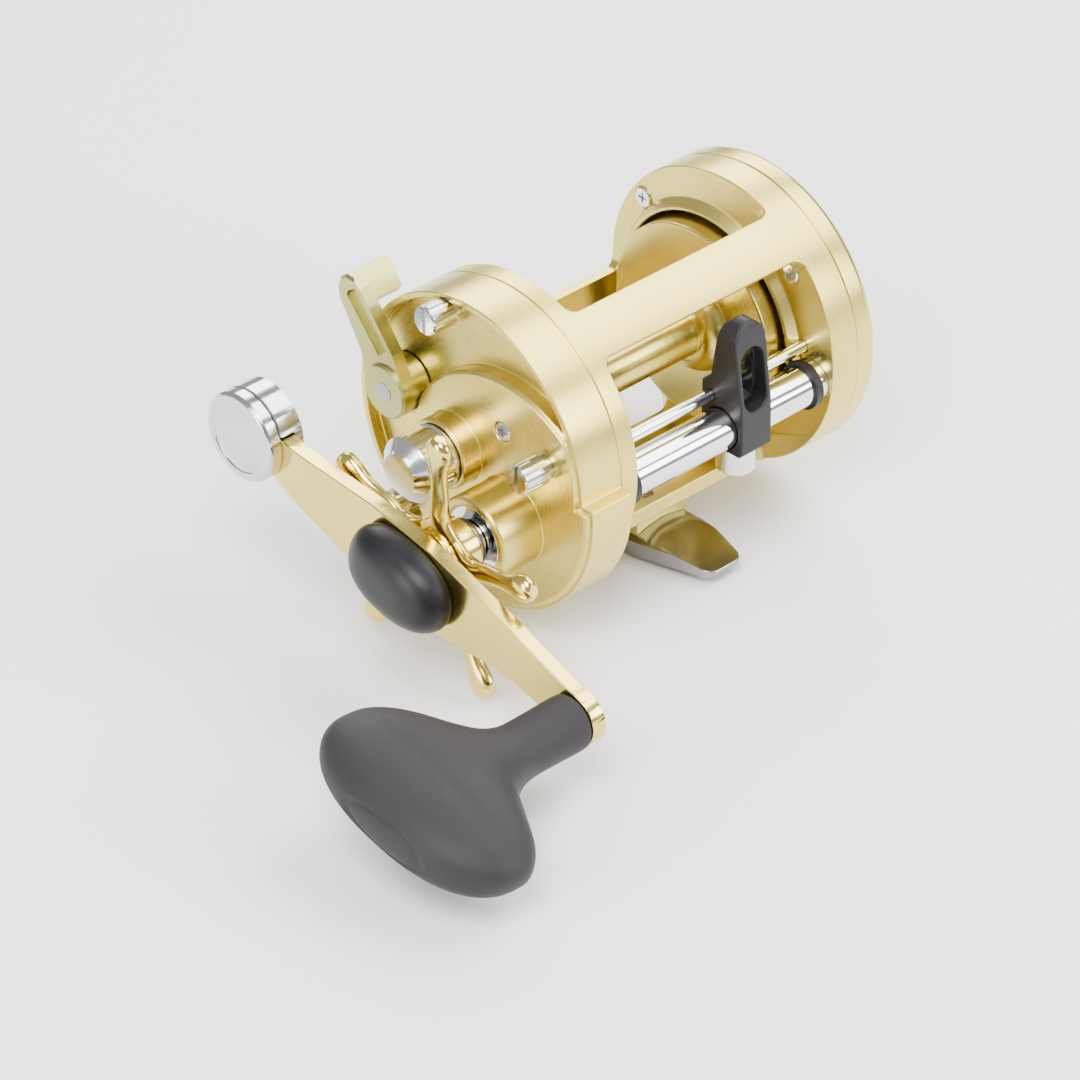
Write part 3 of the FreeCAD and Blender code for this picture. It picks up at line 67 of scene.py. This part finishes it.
slot_of = {part["node"]: part["material_slot"] for part in record["subparts"]}

MM = 0.001
SPOOL_AXIS = Vector(joints["spool_spin"]["pos_m"])
CRANK_AXIS = Vector(joints["crank_turn"]["pos_m"])
GRIP_AXIS = Vector(joints["grip_spin"]["pos_m"])
ring_low, ring_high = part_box("palm_side_plate")
RING_AXIS = Vector((0, 0, (ring_low[2] + ring_high[2]) / 2))
CRANK_TILT = math.atan2(CRANK_AXIS.z - GRIP_AXIS.z, CRANK_AXIS.y - GRIP_AXIS.y)


# ---- materials -----------------------------------------------------------------------------

# noise scales per metre
RING_MARKS, HAZE_SCALE, DUST_SCALE = 9000.0, 45.0, 60.0
HAZE_SHARE = 0.45
MARK_DEPTH, GRAIN_DEPTH = 0.06 * MM, 0.12 * MM
# how far the roughness runs below and above a material's own
METAL_SPREAD, MOULDED_SPREAD = (0.06, 0.07), (0.06, 0.08)
LEAST_ROUGHNESS = 0.02


class Shader:
    """A Principled material being wired up."""

    def __init__(self, name, color, metallic, roughness, **fixed):
        self.material = bpy.data.materials.new(name)
        self.material.use_nodes = True
        self.tree = self.material.node_tree
        self.surface = self.tree.nodes["Principled BSDF"]
        self.set("Base Color", (*color, 1))
        self.set("Metallic", metallic)
        self.set("Roughness", roughness)
        for socket, value in fixed.items():
            self.set(socket.replace("_", " "), value)
        coordinates = self.tree.nodes.new("ShaderNodeTexCoord")
        self.place = coordinates.outputs["Object"]

    def set(self, socket, value):
        self.surface.inputs[socket].default_value = value

    def node(self, kind, **values):
        made = self.tree.nodes.new("ShaderNode" + kind)
        for key, value in values.items():
            setattr(made, key, value)
        return made

    def link(self, output, target):
        self.tree.links.new(output, target)

    def math(self, operation, first, second=0.0):
        """A Math node on outputs or plain numbers."""
        made = self.node("Math", operation=operation)
        for socket, value in zip(made.inputs, (first, second)):
            if isinstance(value, (int, float)):
                socket.default_value = value
            else:
                self.link(value, socket)
        return made.outputs[0]

    def moved(self, source, location):
        made = self.node("Mapping")
        made.inputs["Location"].default_value = location
        self.link(source, made.inputs["Vector"])
        return made.outputs["Vector"]

    def noise(self, source, scale, detail=3.0, roughness=0.5):
        made = self.node("TexNoise")
        made.inputs["Scale"].default_value = scale
        made.inputs["Detail"].default_value = detail
        made.inputs["Roughness"].default_value = roughness
        self.link(source, made.inputs["Vector"])
        return made.outputs["Fac"]

    def spread(self, value, low, high):
        """A noise value stretched to run from low to high."""
        made = self.node("MapRange")
        made.inputs["From Min"].default_value = 0.3
        made.inputs["From Max"].default_value = 0.7
        made.inputs["To Min"].default_value = low
        made.inputs["To Max"].default_value = high
        self.link(value, made.inputs["Value"])
        return made.outputs["Result"]

    def tint(self, value, dark, light):
        """The base colour runs from dark to light with a noise value."""
        made = self.node("ValToRGB")
        made.color_ramp.elements[0].position = 0.35
        made.color_ramp.elements[1].position = 0.65
        made.color_ramp.elements[0].color = (*dark, 1)
        made.color_ramp.elements[1].color = (*light, 1)
        self.link(value, made.inputs["Fac"])
        self.link(made.outputs["Color"], self.surface.inputs["Base Color"])

    def rough(self, value):
        self.link(value, self.surface.inputs["Roughness"])

    def bump(self, height, strength, distance):
        made = self.node("Bump")
        made.inputs["Strength"].default_value = strength
        made.inputs["Distance"].default_value = distance
        self.link(height, made.inputs["Height"])
        self.link(made.outputs["Normal"], self.surface.inputs["Normal"])

    def turned(self, axis):
        """Fine concentric tool marks about an X-parallel axis."""
        shifted = self.moved(self.place, (0, -axis.y, -axis.z))
        parts = self.node("SeparateXYZ")
        self.link(shifted, parts.inputs[0])
        square = self.math("ADD", self.math("MULTIPLY", parts.outputs[1], parts.outputs[1]),
                           self.math("MULTIPLY", parts.outputs[2], parts.outputs[2]))
        radius = self.math("SQRT", square)
        joined = self.node("CombineXYZ")
        self.link(radius, joined.inputs[0])
        self.link(parts.outputs[0], joined.inputs[1])
        return self.noise(joined.outputs[0], RING_MARKS, 2.0, 0.6)


def scaled(color, factor):
    """The colour made lighter or darker, no channel over 1."""
    return tuple(min(1.0, channel * factor) for channel in color)


def metal(name, color, roughness, marks=None, vary=0.06, grain=2600.0, depth=0.1):
    """Metal with tool marks or blasted grain, slow tone changes and handling haze."""
    shader = Shader(name, color, 1.0, roughness)
    haze = shader.noise(shader.place, HAZE_SCALE, 4.0, 0.6)
    shader.tint(haze, scaled(color, 1 - vary), scaled(color, 1 + vary))
    fine = shader.turned(marks) if marks else shader.noise(shader.place, grain, 3.0, 0.6)
    mixed = shader.math("ADD", shader.math("MULTIPLY", fine, 1 - HAZE_SHARE),
                        shader.math("MULTIPLY", haze, HAZE_SHARE))
    below, above = METAL_SPREAD
    shader.rough(shader.spread(mixed, max(LEAST_ROUGHNESS, roughness - below), roughness + above))
    shader.bump(fine, depth, MARK_DEPTH)
    return shader.material


def moulded(name, color, roughness, grain, depth, vary=0.15, **fixed):
    """Plastic or rubber with a moulded grain and a little dust in it."""
    shader = Shader(name, color, 0.0, roughness, **fixed)
    fine = shader.noise(shader.place, grain, 3.0, 0.6)
    broad = shader.noise(shader.place, DUST_SCALE)
    shader.tint(broad, scaled(color, 1 - vary), scaled(color, 1 + vary))
    below, above = MOULDED_SPREAD
    shader.rough(shader.spread(broad, roughness - below, roughness + above))
    shader.bump(fine, depth, GRAIN_DEPTH)
    return shader.material


GOLD = (0.70, 0.565, 0.15)
BRIGHT_GOLD = (0.76, 0.60, 0.16)
materials = {
    "gold_body": metal("satin_gold", GOLD, 0.31, grain=2200.0, depth=0.05),
    "gold_turned": metal("turned_gold", GOLD, 0.27, marks=RING_AXIS, depth=0.25),
    "gold_spool": metal("turned_spool_gold", GOLD, 0.24, marks=SPOOL_AXIS, depth=0.2),
    "gold_lever": metal("lever_gold", (0.42, 0.40, 0.15), 0.30, grain=2600.0, depth=0.1),
    "gold_bright": metal("polished_gold", BRIGHT_GOLD, 0.16, grain=1500.0, depth=0.04),
    "chrome": metal("bright_chrome", (0.80, 0.80, 0.82), 0.07, grain=900.0, depth=0.02, vary=0.02),
    "weight_chrome": metal("weight_chrome", (0.60, 0.60, 0.61), 0.12, grain=900.0, depth=0.02, vary=0.02),
    "silver_knurled": metal("knurled_nickel", (0.70, 0.70, 0.72), 0.17, grain=2400.0, depth=0.08),
    "steel": metal("polished_steel", (0.33, 0.33, 0.35), 0.2, grain=1800.0, depth=0.06, vary=0.1),
    "brass": metal("machined_brass", (0.72, 0.50, 0.20), 0.25, grain=2600.0, depth=0.1),
    "black_plastic": moulded("black_nylon", (0.010, 0.009, 0.011), 0.45, 2600.0, 0.2,
                             Specular_IOR_Level=0.3),
    "insert_ceramic": moulded("dark_ring", (0.02, 0.02, 0.023), 0.16, 900.0, 0.03, Coat_Weight=0.4),
    "grip_rubber": moulded("grip_rubber", (0.017, 0.015, 0.017), 0.6, 1900.0, 0.3, 0.1,
                           Specular_IOR_Level=0.3),
    "cover_rubber": moulded("cover_rubber", (0.006, 0.0055, 0.0075), 0.42, 1500.0, 0.1,
                            Specular_IOR_Level=0.3),
    "drag_fibre": moulded("drag_fibre", (0.05, 0.045, 0.04), 0.6, 1500.0, 0.4),
}
# nodes that look different from the rest of their slot
SPECIAL = {"handle_side_plate": "gold_turned", "palm_side_plate": "gold_turned", "spool": "gold_spool",
           "gear_plate": "gold_turned", "clutch_lever": "gold_lever",
           "counterweight_outer": "weight_chrome", "counterweight_inner": "weight_chrome"}


def material_for(node):
    """The node's own material, or the one its slot names."""
    return materials[SPECIAL.get(node, slot_of[node])]


def dress_cad_nodes():
    """Every CAD node gets its material, and those that no piece replaces show it."""
    for name, item in nodes.items():
        item.data.materials.clear()
        item.data.materials.append(material_for(name))


# ---- bevelled metalwork --------------------------------------------------------------------

WELD = 0.06 * MM
SHARP_EDGE = math.radians(35)
LEAST_RUN = 10 * MM
# in millimetres
BEVEL_WIDTHS = {"frame": 0.35, "handle_side_plate": 0.3, "palm_side_plate": 0.4, "line_guide": 0.45,
                "reel_foot": 0.3, "spool": 0.2, "pawl_cap": 0.2, "handle_arm": 0.25}
# largest turn, in degrees, between faces that are taken as one flat face
FLAT = {node: 0.6 for node in BEVEL_WIDTHS} | {"handle_arm": 3.0}


def linked_groups(edges):
    """The edges in connected runs."""
    left, groups = dict.fromkeys(edges), []
    while left:
        waiting, group = [left.popitem()[0]], []
        while waiting:
            edge = waiting.pop()
            group.append(edge)
            for corner in edge.verts:
                for other in corner.link_edges:
                    if other in left:
                        del left[other]
                        waiting.append(other)
        groups.append(group)
    return groups


def add_piece(label, mesh, node):
    """A visible piece that stands for a CAD node and rides on its body."""
    piece = bpy.data.objects.new(label, mesh)
    bpy.context.collection.objects.link(piece)
    mesh.materials.clear()
    mesh.materials.append(material_for(node))
    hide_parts(node)
    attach(piece, bodies_of[node])
    return piece


def bevelled(node, width):
    """The node's own surface with a small rounded edge along every long sharp run."""
    mesh = nodes[node].data.copy()
    work = bmesh.new()
    work.from_mesh(mesh)
    bmesh.ops.remove_doubles(work, verts=work.verts, dist=WELD)
    bmesh.ops.dissolve_limit(work, angle_limit=math.radians(FLAT[node]), verts=work.verts, edges=work.edges)
    edges = [edge for edge in work.edges
             if len(edge.link_faces) == 2 and edge.calc_face_angle(0) > SHARP_EDGE]
    runs = [run for run in linked_groups(edges) if sum(edge.calc_length() for edge in run) > LEAST_RUN]
    bmesh.ops.bevel(work, geom=[edge for run in runs for edge in run], offset=width * MM, segments=3,
                    profile=0.5, affect="EDGES", clamp_overlap=False)
    work.to_mesh(mesh)
    work.free()
    mesh.shade_smooth()
    piece = add_piece(node + "_edges", mesh, node)
    normals = piece.modifiers.new("normals", "WEIGHTED_NORMAL")
    normals.keep_sharp = True


# ---- rubber parts, in millimetres ----------------------------------------------------------

def crank_point(along, up, x):
    """The place in metres of a point along the crank arm, up across it and along X."""
    along, up, x = along * MM, up * MM, x * MM
    return Vector((x, CRANK_AXIS.y + along * math.cos(CRANK_TILT) - up * math.sin(CRANK_TILT),
                   CRANK_AXIS.z + along * math.sin(CRANK_TILT) + up * math.cos(CRANK_TILT)))


def superellipse(angle, wide, high, power):
    """A point of an ellipse for power=2, and of a boxier oval above."""
    cos, sin = math.cos(angle), math.sin(angle)
    return (wide * math.copysign(abs(cos) ** (2 / power), cos),
            high * math.copysign(abs(sin) ** (2 / power), sin))


def blended(stations, place):
    """The row of numbers at a place between stations, on a smooth curve."""
    for before, after in zip(stations, stations[1:]):
        if before[0] <= place <= after[0]:
            span = after[0] - before[0]
            share = (place - before[0]) / span
            index = stations.index(before)
            ahead = stations[min(index + 2, len(stations) - 1)]
            behind = stations[max(index - 1, 0)]
            row = []
            for column in range(1, len(before)):
                rise_in = (after[column] - behind[column]) / (after[0] - behind[0])
                rise_out = (ahead[column] - before[column]) / (ahead[0] - before[0])
                row.append((2 * share ** 3 - 3 * share ** 2 + 1) * before[column]
                           + (share ** 3 - 2 * share ** 2 + share) * span * rise_in
                           + (-2 * share ** 3 + 3 * share ** 2) * after[column]
                           + (share ** 3 - share ** 2) * span * rise_out)
            return row
    raise ValueError("the place lies outside the stations")


def skin(rings, label):
    """A closed mesh through rings of equal count, with a fan at each end."""
    mesh = bpy.data.meshes.new(label)
    count = len(rings[0])
    points = [point for ring in rings for point in ring]
    faces = [(row * count + col, row * count + (col + 1) % count,
              (row + 1) * count + (col + 1) % count, (row + 1) * count + col)
             for row in range(len(rings) - 1) for col in range(count)]
    for row in (0, len(rings) - 1):
        hub = len(points)
        points.append(sum(rings[row], Vector()) / count)
        faces += [(row * count + col, row * count + (col + 1) % count, hub) for col in range(count)]
    mesh.from_pydata(points, [], faces)
    work = bmesh.new()
    work.from_mesh(mesh)
    bmesh.ops.recalc_face_normals(work, faces=work.faces)
    work.to_mesh(mesh)
    work.free()
    mesh.shade_smooth()
    return mesh


GRIP_NECK = 6.15
GRIP_WIDEST = 39.5
GRIP_HALF_WIDTH, GRIP_HALF_DEPTH = 26.6, 8.5
GRIP_MIDDLE, GRIP_LEAN = -0.2, 0.9
GRIP_SQUARE = 2.4
GRIP_END_POWER = 2.25
# distance from the arm, middle, half width, half depth and squareness of the grip's sections
GRIP_SECTIONS = [
    (0.0, 0.0, GRIP_NECK - 0.5, GRIP_NECK - 0.5, 2.0), (0.5, 0.0, GRIP_NECK, GRIP_NECK, 2.0),
    (4.0, 0.0, GRIP_NECK + 0.1, GRIP_NECK + 0.1, 2.0), (12.0, 0.0, GRIP_NECK, GRIP_NECK, 2.0),
    (17.0, 0.0, 6.6, 6.0, 2.0), (21.0, 0.4, 8.4, 6.4, 2.1), (24.5, 1.2, 12.0, 7.0, 2.2),
    (28.0, 0.9, 18.0, 7.7, 2.3), (31.5, -0.1, 23.1, 8.4, 2.35), (35.5, -0.4, 26.0, 8.7, GRIP_SQUARE),
    (GRIP_WIDEST, GRIP_MIDDLE, GRIP_HALF_WIDTH, GRIP_HALF_DEPTH, GRIP_SQUARE),
    (GRIP_WIDEST + 4, 0.1, GRIP_HALF_WIDTH, GRIP_HALF_DEPTH, GRIP_SQUARE)]


def grip_sections(length):
    """The grip's sections from the arm to the paddle's rounded end."""
    steps, end_steps = 70, 60
    sections = [(place, *blended(GRIP_SECTIONS, place))
                for place in (GRIP_WIDEST * step / steps for step in range(steps + 1))]
    for step in range(1, end_steps):
        gone = math.sin(math.radians(90 * step / end_steps))
        shrink = (1 - gone ** GRIP_END_POWER) ** (1 / GRIP_END_POWER)
        sections.append((GRIP_WIDEST + (length - GRIP_WIDEST) * gone, GRIP_MIDDLE + GRIP_LEAN * gone,
                         GRIP_HALF_WIDTH * shrink, GRIP_HALF_DEPTH * shrink, GRIP_SQUARE))
    return sections


def badge_press(along, up):
    """How far the blank badge sinks the paddle's end: an oval groove round a lower field."""
    half_long, half_high = 10.5, 3.6
    groove_depth, groove_width = 0.55, 0.10
    field_depth, field_edge, field_blend = 0.30, 0.95, 0.03
    oval = math.sqrt((along / half_long) ** 2 + (up / half_high) ** 2)
    groove = groove_depth * math.exp(-((oval - 1.0) / groove_width) ** 2)
    return groove + field_depth / (1 + math.exp((oval - field_edge) / field_blend))


def make_grip():
    """A round neck that opens into a broad flat paddle, with a blank oval badge on its end."""
    count, badge_middle, badge_start = 144, -1.5, GRIP_WIDEST + 0.5
    low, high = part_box("grip_body")
    start, length = high[0] / MM, (high[0] - low[0]) / MM
    reach = (GRIP_AXIS - CRANK_AXIS).length / MM
    rings = []
    for place, middle, wide, deep, square in grip_sections(length):
        ring = []
        for step in range(count):
            along, up = superellipse(2 * math.pi * step / count, wide, deep, square)
            along += middle
            press = badge_press(along - badge_middle, up) if place > badge_start else 0.0
            ring.append(crank_point(along - reach, up, start - place + press))
        rings.append(ring)
    add_piece("grip_paddle", skin(rings, "grip_paddle"), "grip_body")


def make_nut_cover():
    """The soft cap over the handle nut: a low oblong dome with a notch at its rear end."""
    count, dome_steps = 128, 41
    half_long, half_high, square, dome_power = 14.0, 9.3, 2.35, 0.62
    skirt, drop = 1.6, 0.3
    notch_side, notch_depth, notch_blend = 6, 1.5, 0.10
    notch_place, notch_half, notch_rise = 2.9, 2.6, 1.7
    low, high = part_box("nut_cover")
    base, height = high[0] / MM, (high[0] - low[0]) / MM
    sections = [(0.0, half_long - 0.5, half_high - 0.4), (0.35, half_long - 0.3, half_high - 0.2)]
    for step in range(dome_steps):
        turn = math.radians(90 * step / dome_steps)
        shrink = math.cos(turn) ** dome_power
        sections.append((skirt + (height - skirt) * math.sin(turn), half_long * shrink, half_high * shrink))
    rings = []
    for place, wide, deep in sections:
        ring = []
        for step in range(count):
            along, up = superellipse(2 * math.pi * step / count, wide, deep, square)
            away = math.hypot((up - drop) / notch_half, (place - notch_place) / notch_rise)
            if along > notch_side:
                along -= notch_depth / (1 + math.exp((away - 1) / notch_blend))
            ring.append(crank_point(along, up - drop, base - place))
        rings.append(ring)
    add_piece("nut_cover_dome", skin(rings, "nut_cover_dome"), "nut_cover")


# ---- studio --------------------------------------------------------------------------------

# place from the part's middle in metres, size of the panel in metres and power in watts
LIGHTS = {
    "key_light": ((-0.55, -0.35, 0.95), (0.6, 0.6), 20),
    "front_light": ((0.5, -1.0, 0.5), (0.7, 0.5), 13),
    "rear_light": ((0.6, 0.7, 0.6), (0.9, 0.5), 12),
    "top_light": ((0.6, -0.15, 0.85), (0.7, 0.7), 12),
    "handle_light": ((-1.1, 0.1, 0.3), (0.5, 0.7), 10),
}
FLOOR_REACH = 6.0
SKY_STRENGTH = 0.55


def look_at(item, place, target):
    item.location = place
    item.rotation_euler = (target - place).to_track_quat("-Z", "Y").to_euler()


def area_light(name, place, target, size, power):
    light = bpy.data.lights.new(name, "AREA")
    light.shape = "RECTANGLE"
    light.size, light.size_y = size
    light.energy = power
    item = bpy.data.objects.new(name, light)
    bpy.context.collection.objects.link(item)
    look_at(item, place, target)


def make_floor(height):
    """A plain pale sheet under the part."""
    corners = [(x, y, height) for x, y in ((-FLOOR_REACH, -FLOOR_REACH), (FLOOR_REACH, -FLOOR_REACH),
                                           (FLOOR_REACH, FLOOR_REACH), (-FLOOR_REACH, FLOOR_REACH))]
    mesh = bpy.data.meshes.new("floor")
    mesh.from_pydata(corners, [], [(0, 1, 2, 3)])
    floor = bpy.data.objects.new("floor", mesh)
    bpy.context.collection.objects.link(floor)
    paper = Shader("studio_paper", (0.9, 0.9, 0.9), 0.0, 0.9)
    paper.tint(paper.noise(paper.place, 4.0), (0.90, 0.90, 0.90), (0.93, 0.93, 0.93))
    mesh.materials.append(paper.material)


def make_studio():
    """Pale floor, soft panels all round and an even white sky."""
    low, high = (Vector(corner) for corner in cad_box)
    make_floor(low.z)
    middle = (low + high) / 2
    for name, (place, size, power) in LIGHTS.items():
        area_light(name, middle + Vector(place), middle, size, power)
    world = bpy.data.worlds.new("studio_world")
    world.use_nodes = True
    world.node_tree.nodes["Background"].inputs["Color"].default_value = (1, 1, 1, 1)
    world.node_tree.nodes["Background"].inputs["Strength"].default_value = SKY_STRENGTH
    bpy.context.scene.world = world


def make_camera():
    """The photograph's angle: in front and to the handle side, looking down on the reel."""
    azimuth, elevation, distance = math.radians(-43.27), math.radians(34.55), 1.27
    target = Vector((-0.0323, -0.0080, 0.0109))
    back = Vector((math.sin(azimuth) * math.cos(elevation), -math.cos(azimuth) * math.cos(elevation),
                   math.sin(elevation)))
    data = bpy.data.cameras.new("camera")
    data.lens = 199.8
    data.sensor_width = 36.0
    camera = bpy.data.objects.new("camera", data)
    bpy.context.collection.objects.link(camera)
    look_at(camera, target + back * distance, target)
    bpy.context.scene.camera = camera


dress_cad_nodes()
for node, width in BEVEL_WIDTHS.items():
    bevelled(node, width)
make_grip()
make_nut_cover()
make_studio()
make_camera()

bpy.context.view_layer.update()
